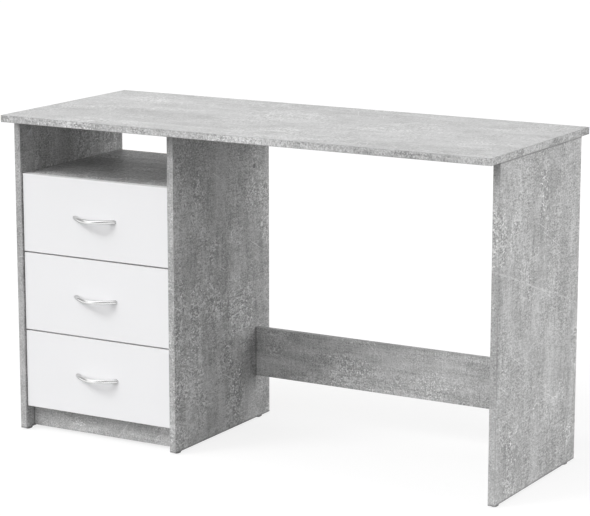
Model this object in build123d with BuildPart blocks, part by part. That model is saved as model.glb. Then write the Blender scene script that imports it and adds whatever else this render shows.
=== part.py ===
"""Writing desk: a desktop on a drawer pedestal and a leg panel, with an open compartment.

Millimetres, +Z up. The chair stands at -Y and +X runs to the right as seen from it.
The origin lies on the floor below the middle of the desktop.
"""

import os
from typing import NamedTuple

from build123d import *

# Overall size and boards.
desk_width = 1230.0
desk_depth = 500.0
desk_height = 750.0
board = 16.0
edge_round = 0.8
front_overhang = 47.0
back_overhang = 37.0
side_overhang = 2.0

# Pedestal, plinth, stretcher and back panel.
pedestal_width = 432.0
plinth_height = 51.0
plinth_lift = 3.0
plinth_setback = 30.0
stretcher_height = 117.0
stretcher_lift = 104.0
stretcher_setback = 48.5
hardboard = 3.0
back_inset = 8.0
back_groove = 6.0

# Drawer fronts.
drawer_names = ("bottom", "middle", "top")
front_height = 182.0
front_gap = 3.0
front_side_gap = 2.0
front_recess = 4.5
front_rear_gap = 1.5
front_drop = 0.5

# Drawer boxes.
drawer_wall = 12.0
box_floor_room = 14.0
box_head_room = 6.0
groove_depth = 5.0
groove_lift = 10.0
groove_play = 0.15

# Bow handles.
handle_spacing = 96.0
handle_length = 119.0
handle_reach = 28.0
handle_grip = 6.5
handle_foot = 15.0
handle_height = 11.0
handle_waist = 8.6
handle_round = 2.0

# Roller runners: distances across a runner are counted from the panel towards the drawer.
runner_space = 12.5
runner_step = 50.0
runner_back_room = 20.0
runner_steel = 1.2
runner_gap = 2.0
running_gap = 0.3
lip_height = 2.5
flange_room = 1.7
track_lift = 7.8
travel_loss = 90.0
roller_diameter = 17.0
roller_end = 12.0
roller_play = 0.4
roller_recess = 1.1
roller_clearance = 2.0
axle_radius = 2.5
axle_play = 0.06
axle_head_gap = 0.1
shoulder_radius = 4.0
recess_play = 0.5
upper_flange = 8.0
rail_ledge = 9.0
runner_screw_front = 45.0
runner_screw_back = 30.0
rail_screw_front = 60.0
rail_screw_back = 70.0

# Floor glides.
glide_height = 4.0
glide_length = 20.0
glide_front_inset = 19.0
glide_back_inset = 40.0
glide_side_inset = 1.0
glide_chamfer = 0.8
glide_pin = 12.0
glide_pin_radius = 2.5

# Fasteners.
fit_play = 0.05
hole_spare = 0.5
cam_radius = 7.4
cam_play = 0.1
cam_sink = 0.2
cam_floor = 3.0
cam_setback = 34.0
cam_edge = 40.0
cam_mouth_play = 1.0
cam_wall = 2.5
driver_slot = 1.4
driver_depth = 1.5
stretcher_cam_edge = 29.0
dowel_edge = 80.0
dowel_radius = 4.0
dowel_floor = 6.0
dowel_in_end = 20.0
dowel_chamfer = 0.8
plinth_dowel_edge = 9.5
small_dowel_radius = 3.0
small_dowel_floor = 4.0
small_dowel_in_end = 16.0
small_dowel_low = 39.0
small_dowel_high = 26.0
bolt_radius = 2.5
bolt_floor = 5.0
bolt_collar = 1.0
bolt_collar_length = 2.0
bolt_taper = 0.8
bolt_neck = 0.7
bolt_neck_length = 3.0
bolt_head_length = 3.0
bolt_past_cam = 2.5
screw_radius = 1.75
screw_head = 0.8
screw_head_radius = 3.5
screw_floor = 5.0
rail_screw_floor = 3.0
handle_screw_radius = 2.0
handle_screw_play = 0.2
handle_screw_grip = 6.0
handle_screw_head = 2.6
handle_screw_head_radius = 4.0
nail_radius = 0.75
nail_head = 0.6
nail_head_radius = 1.8
nail_length = 19.0
nail_count = 4

# Levels and faces that follow from the sizes.
panel_front = -desk_depth / 2 + front_overhang
panel_back = desk_depth / 2 - back_overhang
panel_low = glide_height
panel_top = desk_height - board
left_outer = -desk_width / 2 + side_overhang
left_face = left_outer + board
knee_face = left_outer + pedestal_width
right_face = knee_face - board
leg_outer = desk_width / 2 - side_overhang
leg_face = leg_outer - board
middle = (left_face + right_face) / 2
plinth_low = panel_low + plinth_lift
bottom_low = plinth_low + plinth_height
bottom_top = bottom_low + board
front_lows = [
    bottom_low + front_drop + number * (front_height + front_gap)
    for number in range(len(drawer_names))
]
shelf_top = front_lows[-1] + front_height
shelf_low = shelf_top - board
front_face = panel_front + front_recess
front_rear = front_face + board
board_front = front_rear + front_rear_gap
back_rear = panel_back - back_inset
back_front = back_rear - hardboard
board_back = back_front - groove_play
plinth_front = panel_front + plinth_setback
stretcher_rear = panel_back - stretcher_setback
stretcher_low = panel_low + stretcher_lift
stretcher_top = stretcher_low + stretcher_height

# Drawer boxes and runners.
box_half = (right_face - left_face) / 2 - runner_space
box_inner = box_half - drawer_wall
box_lift = board + box_floor_room
box_height = front_height - box_lift - board - box_head_room
runner_length = runner_step * int((board_back - front_rear - runner_back_room) / runner_step)
runner_front = front_rear + runner_gap
runner_back = runner_front + runner_length
box_back = front_rear + runner_length
travel = runner_length - travel_loss
roller_radius = roller_diameter / 2
roller_face = runner_steel + screw_head + roller_play
rail_web = runner_space - runner_steel
channel_edge = rail_web - running_gap
lip_face = channel_edge - runner_steel
roller_far = lip_face - roller_recess
roller_width = roller_far - roller_face
axle_rise = running_gap + roller_radius
flange_rise = axle_rise + roller_radius + running_gap
channel_rise = flange_rise + runner_steel + flange_room
front_axle = runner_front + roller_end
rear_axle = box_back - roller_end
stop_front = front_axle + roller_radius + running_gap + travel

# Depths that leave a floor under a blind hole.
bolt_depth = board - bolt_floor
dowel_depth = board - dowel_floor
cam_depth = board - cam_floor
small_dowel_depth = drawer_wall - small_dowel_floor
screw_depth = board - screw_floor
rail_screw_depth = drawer_wall - rail_screw_floor
bolt_reach = cam_setback + bolt_past_cam

LEFT = -1
RIGHT = 1
TO_BACK = Vector(0, 1, 0)
TO_FRONT = Vector(0, -1, 0)
DOWN = Vector(0, 0, -1)
EAST = Vector(1, 0, 0)
WEST = Vector(-1, 0, 0)


class CamJoint(NamedTuple):
    """A bolt in one board's face, drawn up by a cam near the end of the next board."""

    point: Vector
    into: Vector
    face: Vector


class DowelJoint(NamedTuple):
    """A dowel from one board's face into the end of the next board."""

    point: Vector
    into: Vector


def slab(x, y, z):
    """A rectangular board between low and high values along each axis."""
    with BuildSketch(Plane.XY.offset(z[0])) as outline:
        with Locations((sum(x) / 2, sum(y) / 2)):
            Rectangle(x[1] - x[0], y[1] - y[0])
    extrude(outline.sketch, amount=z[1] - z[0])


def cut_slot(x, y, z):
    """A rectangular groove between low and high values along each axis."""
    with BuildSketch(Plane.XY.offset(z[0])) as outline:
        with Locations((sum(x) / 2, sum(y) / 2)):
            Rectangle(x[1] - x[0], y[1] - y[0])
    extrude(outline.sketch, amount=z[1] - z[0], mode=Mode.SUBTRACT)


def bore(points, outward, radius, depth):
    """Blind holes from points on a face, square to it."""
    with Locations(*[Plane(point, z_dir=outward) for point in points]):
        Hole(radius, depth)


def bolt_holes(joints):
    """Holes in the faced board for the threads of the cam bolts."""
    for joint in joints:
        bore([joint.point], joint.into, bolt_radius + fit_play, bolt_depth + hole_spare)


def cam_holes(joints):
    """The bolt's hole from the end of a board and the cam's pocket in its face."""
    for joint in joints:
        bore([joint.point], -joint.into, bolt_radius + bolt_collar + hole_spare, cam_setback)
        centre = joint.point + joint.into * cam_setback + joint.face * (board / 2)
        bore([centre], joint.face, cam_radius + cam_play, cam_depth)


def dowel_face_holes(joints):
    """Dowel holes in the faced board."""
    for joint in joints:
        bore([joint.point], joint.into, dowel_radius + fit_play, dowel_depth + hole_spare)


def dowel_end_holes(joints):
    """Dowel holes in the end of the next board."""
    for joint in joints:
        bore([joint.point], -joint.into, dowel_radius + fit_play, dowel_in_end + hole_spare)


def save(piece, name):
    """Write one sub-part under its own name."""
    piece.label = name
    export_step(piece, f"parts/{name}.step")


# Where the carcass boards are bolted and dowelled together.
panel_rows = (panel_front + cam_edge, panel_back - cam_edge)
panel_dowel_rows = (panel_front + dowel_edge, panel_back - dowel_edge)
board_rows = (board_front + cam_edge, board_back - cam_edge)
board_dowel_rows = (board_front + dowel_edge, board_back - dowel_edge)


def top_cams(x, face):
    """Cam joints between a panel's top end and the underside of the desktop."""
    return [CamJoint(Vector(x, y, panel_top), DOWN, face) for y in panel_rows]


def top_dowels(x):
    """Dowels between a panel's top end and the underside of the desktop."""
    return [DowelJoint(Vector(x, y, panel_top), DOWN) for y in panel_dowel_rows]


def board_cams(x, into, z):
    """Cam joints between a pedestal panel and one end of a level board."""
    return [CamJoint(Vector(x, y, z), into, DOWN) for y in board_rows]


def board_dowels(x, into, z):
    """Dowels between a pedestal panel and one end of a level board."""
    return [DowelJoint(Vector(x, y, z), into) for y in board_dowel_rows]


left_mid = left_outer + board / 2
inner_mid = knee_face - board / 2
leg_mid = leg_outer - board / 2
shelf_mid = shelf_top - board / 2
bottom_mid = bottom_top - board / 2
plinth_mid = (plinth_low + bottom_low) / 2
plinth_y = plinth_front + board / 2
stretcher_y = stretcher_rear - board / 2
stretcher_mid = (stretcher_low + stretcher_top) / 2

left_top = top_cams(left_mid, EAST)
inner_top = top_cams(inner_mid, WEST)
leg_top = top_cams(leg_mid, WEST)
left_top_pegs = top_dowels(left_mid)
inner_top_pegs = top_dowels(inner_mid)
leg_top_pegs = top_dowels(leg_mid)

shelf_left = board_cams(left_face, EAST, shelf_mid)
shelf_right = board_cams(right_face, WEST, shelf_mid)
shelf_left_pegs = board_dowels(left_face, EAST, shelf_mid)
shelf_right_pegs = board_dowels(right_face, WEST, shelf_mid)
bottom_left = board_cams(left_face, EAST, bottom_mid)
bottom_right = board_cams(right_face, WEST, bottom_mid)
bottom_left_pegs = board_dowels(left_face, EAST, bottom_mid)
bottom_right_pegs = board_dowels(right_face, WEST, bottom_mid)

plinth_left = [CamJoint(Vector(left_face, plinth_y, plinth_mid), EAST, TO_BACK)]
plinth_right = [CamJoint(Vector(right_face, plinth_y, plinth_mid), WEST, TO_BACK)]
plinth_pegs = (plinth_low + plinth_dowel_edge, bottom_low - plinth_dowel_edge)
plinth_left_pegs = [DowelJoint(Vector(left_face, plinth_y, z), EAST) for z in plinth_pegs]
plinth_right_pegs = [DowelJoint(Vector(right_face, plinth_y, z), WEST) for z in plinth_pegs]

stretcher_levels = (stretcher_low + stretcher_cam_edge, stretcher_top - stretcher_cam_edge)
stretcher_left = [CamJoint(Vector(knee_face, stretcher_y, z), EAST, TO_BACK) for z in stretcher_levels]
stretcher_right = [CamJoint(Vector(leg_face, stretcher_y, z), WEST, TO_BACK) for z in stretcher_levels]
stretcher_left_pegs = [DowelJoint(Vector(knee_face, stretcher_y, stretcher_mid), EAST)]
stretcher_right_pegs = [DowelJoint(Vector(leg_face, stretcher_y, stretcher_mid), WEST)]


# Runner positions.
def across(side, distance):
    """X of a point at a distance from the pedestal panel towards the drawer."""
    face = left_face if side == LEFT else right_face
    return face - side * distance


def inward(side):
    """Direction from a pedestal panel towards the drawer."""
    return EAST if side == LEFT else WEST


def box_low(front_low):
    """Underside of a drawer's box."""
    return front_low + box_lift


def track(front_low):
    """Running face of a drawer's cabinet runners."""
    return box_low(front_low) + track_lift


runner_screw_rows = (
    runner_front + runner_screw_front,
    (runner_front + runner_back) / 2,
    runner_back - runner_screw_back,
)
rail_screw_rows = (front_rear + rail_screw_front, box_back - rail_screw_back)


def runner_screw_points(side, distance):
    """Points on the axes of the screws that hold one panel's runners."""
    return [
        Vector(across(side, distance), y, track(low) + axle_rise)
        for low in front_lows
        for y in runner_screw_rows
    ]


def rail_screw_points(side, distance, front_low):
    """Points on the axes of the screws that hold one drawer rail."""
    return [Vector(across(side, distance), y, track(front_low) + axle_rise) for y in rail_screw_rows]


# Carcass boards.
os.makedirs("parts", exist_ok=True)

with BuildPart() as desktop:
    slab((-desk_width / 2, desk_width / 2), (-desk_depth / 2, desk_depth / 2), (panel_top, desk_height))
    fillet(desktop.edges(), edge_round)
    bolt_holes(left_top + inner_top + leg_top)
    dowel_face_holes(left_top_pegs + inner_top_pegs + leg_top_pegs)
save(desktop.part, "desktop")


def back_groove_cut(side):
    """The groove that takes one edge of the back panel."""
    reach = (across(side, -back_groove), across(side, 0))
    depth = (back_front - groove_play, back_rear + groove_play)
    cut_slot((min(reach), max(reach)), depth, (bottom_low, shelf_top))


glide_rows = (panel_front + glide_front_inset, panel_back - glide_back_inset)


def glide_holes(x):
    """Holes in a panel's lower end for the pins of its glides."""
    points = [Vector(x, y, panel_low) for y in glide_rows]
    bore(points, DOWN, glide_pin_radius + fit_play, glide_pin + hole_spare)


with BuildPart() as left_side_panel:
    slab((left_outer, left_face), (panel_front, panel_back), (panel_low, panel_top))
    fillet(left_side_panel.edges().filter_by(Axis.Z), edge_round)
    back_groove_cut(LEFT)
    cam_holes(left_top)
    dowel_end_holes(left_top_pegs)
    bolt_holes(shelf_left + bottom_left + plinth_left)
    dowel_face_holes(shelf_left_pegs + bottom_left_pegs + plinth_left_pegs)
    bore(runner_screw_points(LEFT, 0), EAST, screw_radius + fit_play, screw_depth + hole_spare)
    glide_holes(left_mid)
save(left_side_panel.part, "left_side_panel")

with BuildPart() as inner_side_panel:
    slab((right_face, knee_face), (panel_front, panel_back), (panel_low, panel_top))
    fillet(inner_side_panel.edges().filter_by(Axis.Z), edge_round)
    back_groove_cut(RIGHT)
    cam_holes(inner_top)
    dowel_end_holes(inner_top_pegs)
    bolt_holes(shelf_right + bottom_right + plinth_right + stretcher_left)
    dowel_face_holes(shelf_right_pegs + bottom_right_pegs + plinth_right_pegs)
    dowel_face_holes(stretcher_left_pegs)
    bore(runner_screw_points(RIGHT, 0), WEST, screw_radius + fit_play, screw_depth + hole_spare)
    glide_holes(inner_mid)
save(inner_side_panel.part, "inner_side_panel")

with BuildPart() as leg_panel:
    slab((leg_face, leg_outer), (panel_front, panel_back), (panel_low, panel_top))
    fillet(leg_panel.edges().filter_by(Axis.Z), edge_round)
    cam_holes(leg_top)
    dowel_end_holes(leg_top_pegs)
    bolt_holes(stretcher_right)
    dowel_face_holes(stretcher_right_pegs)
    glide_holes(leg_mid)
save(leg_panel.part, "leg_panel")

nail_xs = [
    left_face + (right_face - left_face) * (number + 0.5) / nail_count
    for number in range(nail_count)
]
nail_points = [Vector(x, back_rear, z) for x in nail_xs for z in (shelf_mid, bottom_mid)]


def nail_holes(level):
    """Nail holes in the rear edge of a level board."""
    points = [Vector(x, board_back, level) for x in nail_xs]
    bore(points, TO_BACK, nail_radius + fit_play, nail_length - hardboard + hole_spare)


with BuildPart() as shelf:
    slab((left_face, right_face), (board_front, board_back), (shelf_low, shelf_top))
    fillet(shelf.edges().filter_by(Axis.X).group_by(Axis.Y)[0], edge_round)
    cam_holes(shelf_left + shelf_right)
    dowel_end_holes(shelf_left_pegs + shelf_right_pegs)
    nail_holes(shelf_mid)
save(shelf.part, "shelf")

with BuildPart() as bottom_board:
    slab((left_face, right_face), (board_front, board_back), (bottom_low, bottom_top))
    fillet(bottom_board.edges().filter_by(Axis.X).group_by(Axis.Y)[0], edge_round)
    cam_holes(bottom_left + bottom_right)
    dowel_end_holes(bottom_left_pegs + bottom_right_pegs)
    nail_holes(bottom_mid)
save(bottom_board.part, "bottom_board")

with BuildPart() as plinth:
    slab((left_face, right_face), (plinth_front, plinth_front + board), (plinth_low, bottom_low))
    fillet(plinth.edges().filter_by(Axis.X).group_by(Axis.Z)[0], edge_round)
    cam_holes(plinth_left + plinth_right)
    dowel_end_holes(plinth_left_pegs + plinth_right_pegs)
save(plinth.part, "plinth")

with BuildPart() as stretcher:
    slab((knee_face, leg_face), (stretcher_rear - board, stretcher_rear), (stretcher_low, stretcher_top))
    fillet(stretcher.edges().filter_by(Axis.X), edge_round)
    cam_holes(stretcher_left + stretcher_right)
    dowel_end_holes(stretcher_left_pegs + stretcher_right_pegs)
save(stretcher.part, "stretcher")

with BuildPart() as back_panel:
    edge = back_groove - 2 * groove_play
    slab((left_face - edge, right_face + edge), (back_front, back_rear), (bottom_low, shelf_top))
    bore(nail_points, TO_BACK, nail_radius + fit_play, hardboard + hole_spare)
save(back_panel.part, "back_panel")


# Carcass fasteners, each made once and set at every place that takes one.
with BuildPart() as cam_shape:
    Cylinder(cam_radius, cam_depth - 2 * cam_sink, align=(Align.CENTER, Align.CENTER, Align.MAX))
    with Locations(Plane((cam_radius, 0, cam_sink - board / 2), z_dir=(1, 0, 0))):
        Hole(bolt_radius + bolt_collar + cam_mouth_play, 2 * cam_radius - cam_wall)
    Box(cam_radius, driver_slot, 2 * driver_depth, mode=Mode.SUBTRACT)
    Box(driver_slot, cam_radius, 2 * driver_depth, mode=Mode.SUBTRACT)

with BuildPart() as bolt_shape:
    with BuildSketch(Plane.XZ):
        neck_end = bolt_reach - bolt_head_length
        neck_start = neck_end - bolt_neck_length
        with BuildLine():
            Polyline(
                (0, -bolt_depth),
                (bolt_radius - bolt_taper, -bolt_depth),
                (bolt_radius, bolt_taper - bolt_depth),
                (bolt_radius, fit_play),
                (bolt_radius + bolt_collar, fit_play),
                (bolt_radius + bolt_collar, bolt_collar_length),
                (bolt_radius, bolt_collar_length + bolt_taper),
                (bolt_radius, neck_start),
                (bolt_radius - bolt_neck, neck_start + bolt_taper),
                (bolt_radius - bolt_neck, neck_end - bolt_taper),
                (bolt_radius + bolt_collar, neck_end),
                (bolt_radius + bolt_collar, bolt_reach - bolt_taper),
                (bolt_radius, bolt_reach),
                (0, bolt_reach),
                close=True,
            )
        make_face()
    revolve(axis=Axis.Z)


def peg_shape(radius, in_face, in_end):
    """A dowel with chamfered ends, its joint plane at zero."""
    with BuildPart() as peg:
        with BuildSketch(Plane.XY.offset(-in_face)):
            Circle(radius)
        extrude(amount=in_face + in_end)
        chamfer(peg.edges(), dowel_chamfer)
    return peg.part


def screw_shape(head_radius, head, radius, length):
    """A screw whose head sits on the plane at zero and whose shank points down."""
    with BuildPart() as screw:
        with BuildSketch(Plane.XZ):
            with BuildLine():
                Polyline(
                    (0, head),
                    (head_radius * 0.8, head),
                    (head_radius, head / 2),
                    (head_radius, 0),
                    (radius, 0),
                    (radius, radius - length),
                    (radius / 4, -length),
                    (0, -length),
                    close=True,
                )
            make_face()
        revolve(axis=Axis.Z)
    return screw.part


carcass_cams = left_top + inner_top + leg_top + shelf_left + shelf_right
carcass_cams += bottom_left + bottom_right + plinth_left + plinth_right
carcass_cams += stretcher_left + stretcher_right
carcass_pegs = left_top_pegs + inner_top_pegs + leg_top_pegs + shelf_left_pegs + shelf_right_pegs
carcass_pegs += bottom_left_pegs + bottom_right_pegs + plinth_left_pegs + plinth_right_pegs
carcass_pegs += stretcher_left_pegs + stretcher_right_pegs


def cam_place(joint):
    """Where a cam sits: flush in its face, its mouth towards the bolt."""
    centre = joint.point + joint.into * cam_setback + joint.face * (board / 2 - cam_sink)
    return Plane(centre, x_dir=-joint.into, z_dir=joint.face)


with BuildPart() as cam_locks:
    with Locations(*[cam_place(joint) for joint in carcass_cams]):
        add(cam_shape.part)
save(cam_locks.part, "cam_locks")

with BuildPart() as cam_bolts:
    with Locations(*[Plane(joint.point, z_dir=joint.into) for joint in carcass_cams]):
        add(bolt_shape.part)
save(cam_bolts.part, "cam_bolts")

with BuildPart() as wood_dowels:
    with Locations(*[Plane(joint.point, z_dir=joint.into) for joint in carcass_pegs]):
        add(peg_shape(dowel_radius, dowel_depth, dowel_in_end))
save(wood_dowels.part, "wood_dowels")

with BuildPart() as back_panel_nails:
    with Locations(*[Plane(point, z_dir=TO_BACK) for point in nail_points]):
        add(screw_shape(nail_head_radius, nail_head, nail_radius, nail_length))
save(back_panel_nails.part, "back_panel_nails")

glide_spots = [(x, y) for x in (left_mid, inner_mid, leg_mid) for y in glide_rows]
with BuildPart() as floor_glides:
    with BuildSketch(Plane.XY):
        with Locations(*glide_spots):
            SlotOverall(glide_length, board - 2 * glide_side_inset, rotation=90)
    extrude(amount=glide_height)
    chamfer(floor_glides.edges().group_by(Axis.Z)[0], glide_chamfer)
    with BuildSketch(Plane.XY.offset(glide_height)):
        with Locations(*glide_spots):
            Circle(glide_pin_radius)
    extrude(amount=glide_pin)
save(floor_glides.part, "floor_glides")


# Runners: a channel on each panel and a rail under each drawer side, with a roller apiece.
def axle(point, direction, shoulder, reach):
    """A riveted axle standing on a web: shoulder, shaft and head."""
    low = (Align.CENTER, Align.CENTER, Align.MIN)
    with Locations(Plane(point, z_dir=direction)):
        Cylinder(shoulder_radius, shoulder, align=low)
        Cylinder(axle_radius, reach, align=low)
    with Locations(Plane(point + direction * reach, z_dir=direction)):
        Cylinder(shoulder_radius, screw_head, align=low)


head_sink = roller_recess - axle_head_gap


def cabinet_runner(side, front_low):
    """A channel open towards the drawer, with an axle near its front end."""
    floor = track(front_low)
    outline_points = [
        (0, -runner_steel),
        (channel_edge, -runner_steel),
        (channel_edge, lip_height),
        (lip_face, lip_height),
        (lip_face, 0),
        (runner_steel, 0),
        (runner_steel, channel_rise),
        (upper_flange, channel_rise),
        (upper_flange, channel_rise + runner_steel),
        (0, channel_rise + runner_steel),
    ]
    with BuildPart() as runner:
        with BuildSketch(Plane.XZ.offset(-runner_back)):
            with BuildLine():
                Polyline([(across(side, u), floor + z) for u, z in outline_points], close=True)
            make_face()
        extrude(amount=runner_length)
        holes = [Vector(across(side, runner_steel), y, floor + axle_rise) for y in runner_screw_rows]
        bore(holes, inward(side), screw_radius + fit_play, runner_steel + hole_spare)
        axle(
            Vector(across(side, runner_steel), front_axle, floor + axle_rise),
            inward(side),
            roller_face - runner_steel - roller_play / 2,
            roller_far - head_sink - runner_steel,
        )
    return runner.part


def drawer_rail(side, front_low):
    """An angle under the drawer side, with a flange that rides on the cabinet roller."""
    floor = track(front_low)
    low = box_low(front_low)
    flange_end = rear_axle - roller_radius - roller_clearance
    ledge = runner_space + rail_ledge
    outline_points = [
        (rail_web, low - runner_steel),
        (ledge, low - runner_steel),
        (ledge, low),
        (runner_space, low),
        (runner_space, floor + flange_rise + runner_steel),
        (rail_web, floor + flange_rise + runner_steel),
    ]
    xs = sorted((across(side, runner_steel + screw_head), across(side, rail_web)))
    stop_xs = sorted((across(side, roller_face), across(side, roller_far)))
    with BuildPart() as rail:
        with BuildSketch(Plane.XZ.offset(-box_back)):
            with BuildLine():
                Polyline([(across(side, u), z) for u, z in outline_points], close=True)
            make_face()
        extrude(amount=runner_length)
        slab(xs, (front_rear, flange_end), (floor + flange_rise, floor + flange_rise + runner_steel))
        slab(stop_xs, (stop_front, stop_front + runner_steel), (floor + axle_rise, floor + flange_rise))
        holes = rail_screw_points(side, rail_web, front_low)
        bore(holes, -inward(side), screw_radius + fit_play, runner_steel + hole_spare)
        axle(
            Vector(across(side, rail_web), rear_axle, floor + axle_rise),
            -inward(side),
            rail_web - roller_far - roller_play / 2,
            rail_web - roller_face - head_sink,
        )
    return rail.part


def roller(face, into):
    """A roller whose recessed end lies at a point, its axis along a direction."""
    with BuildPart() as wheel:
        with BuildSketch(Plane(face, z_dir=into)):
            Circle(roller_radius)
            Circle(axle_radius + axle_play, mode=Mode.SUBTRACT)
        extrude(amount=roller_width)
        with BuildSketch(Plane(face, z_dir=into)):
            Circle(shoulder_radius + recess_play)
        extrude(amount=roller_recess, mode=Mode.SUBTRACT)
        rims = wheel.edges().filter_by(GeomType.CIRCLE).sort_by(SortBy.RADIUS)[-2:]
        chamfer(rims, roller_play)
    return wheel.part


for side, side_name in ((LEFT, "left"), (RIGHT, "right")):
    with BuildPart() as runners:
        for front_low in front_lows:
            add(cabinet_runner(side, front_low))
    save(runners.part, f"{side_name}_cabinet_runners")

runner_screw_places = [
    Plane(point, z_dir=inward(side))
    for side in (LEFT, RIGHT)
    for point in runner_screw_points(side, runner_steel)
]
with BuildPart() as cabinet_runner_screws:
    with Locations(*runner_screw_places):
        add(screw_shape(screw_head_radius, screw_head, screw_radius, screw_depth + runner_steel))
save(cabinet_runner_screws.part, "cabinet_runner_screws")


# Drawers.
def small_peg_holes(points, outward, depth):
    """Holes for the drawer box's dowels."""
    bore(points, outward, small_dowel_radius + fit_play, depth + hole_spare)


def peg_levels(front_low):
    """Levels of the dowels in a drawer's corners."""
    low = box_low(front_low)
    return (low + small_dowel_low, low + box_height - small_dowel_high)


def front_pegs(side, front_low):
    """Points where dowels join one drawer side to the front."""
    x = middle + side * (box_half - drawer_wall / 2)
    return [Vector(x, front_rear, z) for z in peg_levels(front_low)]


def back_pegs(side, front_low):
    """Points where dowels join one drawer side to the drawer's back."""
    x = middle + side * box_inner
    return [Vector(x, box_back - drawer_wall / 2, z) for z in peg_levels(front_low)]


def groove_span(front_low):
    """Levels of the groove for a drawer's bottom."""
    low = box_low(front_low) + groove_lift
    return (low, low + hardboard + 2 * groove_play)


def handle_points(y, front_low):
    """Points on the axes of a handle's screws."""
    level = front_low + front_height / 2
    return [Vector(middle + side * handle_spacing / 2, y, level) for side in (LEFT, RIGHT)]


def drawer_front(front_low):
    """The drawer's face board."""
    half = (right_face - left_face) / 2 - front_side_gap
    groove_half = box_inner + groove_depth
    with BuildPart() as front:
        slab((middle - half, middle + half), (front_face, front_rear), (front_low, front_low + front_height))
        fillet(front.edges(), edge_round)
        groove = (front_rear - groove_depth, front_rear)
        cut_slot((middle - groove_half, middle + groove_half), groove, groove_span(front_low))
        small_peg_holes(front_pegs(LEFT, front_low), TO_BACK, small_dowel_depth)
        small_peg_holes(front_pegs(RIGHT, front_low), TO_BACK, small_dowel_depth)
        screw_points = handle_points(front_rear, front_low)
        bore(screw_points, TO_BACK, handle_screw_radius + handle_screw_play, board + hole_spare)
    return front.part


def drawer_side(side, front_low):
    """One side of the drawer box."""
    xs = sorted((middle + side * box_inner, middle + side * box_half))
    groove_xs = sorted((middle + side * box_inner, middle + side * (box_inner + groove_depth)))
    low = box_low(front_low)
    with BuildPart() as wall:
        slab(xs, (front_rear, box_back), (low, low + box_height))
        fillet(wall.edges().filter_by(Axis.Y).group_by(Axis.Z)[-1], edge_round)
        cut_slot(groove_xs, (front_rear, box_back), groove_span(front_low))
        small_peg_holes(front_pegs(side, front_low), TO_FRONT, small_dowel_in_end)
        small_peg_holes(back_pegs(side, front_low), inward(side), small_dowel_depth)
        screw_points = rail_screw_points(side, runner_space, front_low)
        bore(screw_points, -inward(side), screw_radius + fit_play, rail_screw_depth + hole_spare)
    return wall.part


def drawer_back(front_low):
    """The rear wall of the drawer box."""
    low = box_low(front_low)
    front_y = box_back - drawer_wall
    with BuildPart() as wall:
        slab((middle - box_inner, middle + box_inner), (front_y, box_back), (low, low + box_height))
        fillet(wall.edges().filter_by(Axis.X).group_by(Axis.Z)[-1], edge_round)
        groove = (front_y, front_y + groove_depth)
        cut_slot((middle - box_inner, middle + box_inner), groove, groove_span(front_low))
        for side in (LEFT, RIGHT):
            small_peg_holes(back_pegs(side, front_low), -inward(side), small_dowel_in_end)
    return wall.part


def drawer_bottom(front_low):
    """The thin panel that slides into the grooves of the drawer box."""
    half = box_inner + groove_depth - 2 * groove_play
    low = groove_span(front_low)[0] + groove_play
    y = (front_rear - groove_depth + groove_play, box_back - drawer_wall + groove_depth - groove_play)
    with BuildPart() as panel:
        slab((middle - half, middle + half), y, (low, low + hardboard))
    return panel.part


def handle(front_low):
    """A bow that stands off the front, a little slimmer in the middle than at its feet."""
    level = front_low + front_height / 2
    half = handle_length / 2
    inner = half - handle_foot
    crown = front_face - handle_reach
    with BuildPart() as pull:
        with BuildSketch(Plane.XY.offset(level - handle_height / 2)):
            with BuildLine():
                ThreePointArc((middle - half, front_face), (middle, crown), (middle + half, front_face))
                Line((middle + half, front_face), (middle + inner, front_face))
                ThreePointArc(
                    (middle + inner, front_face),
                    (middle, crown + handle_grip),
                    (middle - inner, front_face),
                )
                Line((middle - inner, front_face), (middle - half, front_face))
            make_face()
        extrude(amount=handle_height)
        with BuildSketch(Plane.XZ.offset(-front_face)):
            with BuildLine():
                ThreePointArc(
                    (middle - half, level + handle_height / 2),
                    (middle, level + handle_waist / 2),
                    (middle + half, level + handle_height / 2),
                )
                Line((middle + half, level + handle_height / 2), (middle + half, level - handle_height / 2))
                ThreePointArc(
                    (middle + half, level - handle_height / 2),
                    (middle, level - handle_waist / 2),
                    (middle - half, level - handle_height / 2),
                )
                Line((middle - half, level - handle_height / 2), (middle - half, level + handle_height / 2))
            make_face()
        extrude(amount=handle_reach, mode=Mode.INTERSECT)
        long_edges = pull.edges().filter_by(lambda edge: edge.center().Y < front_face - handle_round)
        fillet(long_edges, handle_round)
        points = handle_points(front_face, front_low)
        bore(points, TO_BACK, handle_screw_radius + fit_play, handle_screw_grip + hole_spare)
    return pull.part


def drawer_screws(front_low):
    """The handle's screws and the screws that hold the rails."""
    places = [
        Plane(point, z_dir=-inward(side))
        for side in (LEFT, RIGHT)
        for point in rail_screw_points(side, rail_web, front_low)
    ]
    with BuildPart() as screws:
        with Locations(*[Plane(point, z_dir=TO_BACK) for point in handle_points(front_rear, front_low)]):
            add(
                screw_shape(
                    handle_screw_head_radius,
                    handle_screw_head,
                    handle_screw_radius,
                    board + handle_screw_grip,
                )
            )
        with Locations(*places):
            add(screw_shape(screw_head_radius, screw_head, screw_radius, runner_steel + rail_screw_depth))
    return screws.part


def drawer_dowels(front_low):
    """The dowels in the corners of the drawer box."""
    places = []
    for side in (LEFT, RIGHT):
        places += [Plane(point, z_dir=TO_BACK) for point in front_pegs(side, front_low)]
        places += [Plane(point, z_dir=inward(side)) for point in back_pegs(side, front_low)]
    with BuildPart() as pegs:
        with Locations(*places):
            add(peg_shape(small_dowel_radius, small_dowel_depth, small_dowel_in_end))
    return pegs.part


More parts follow.
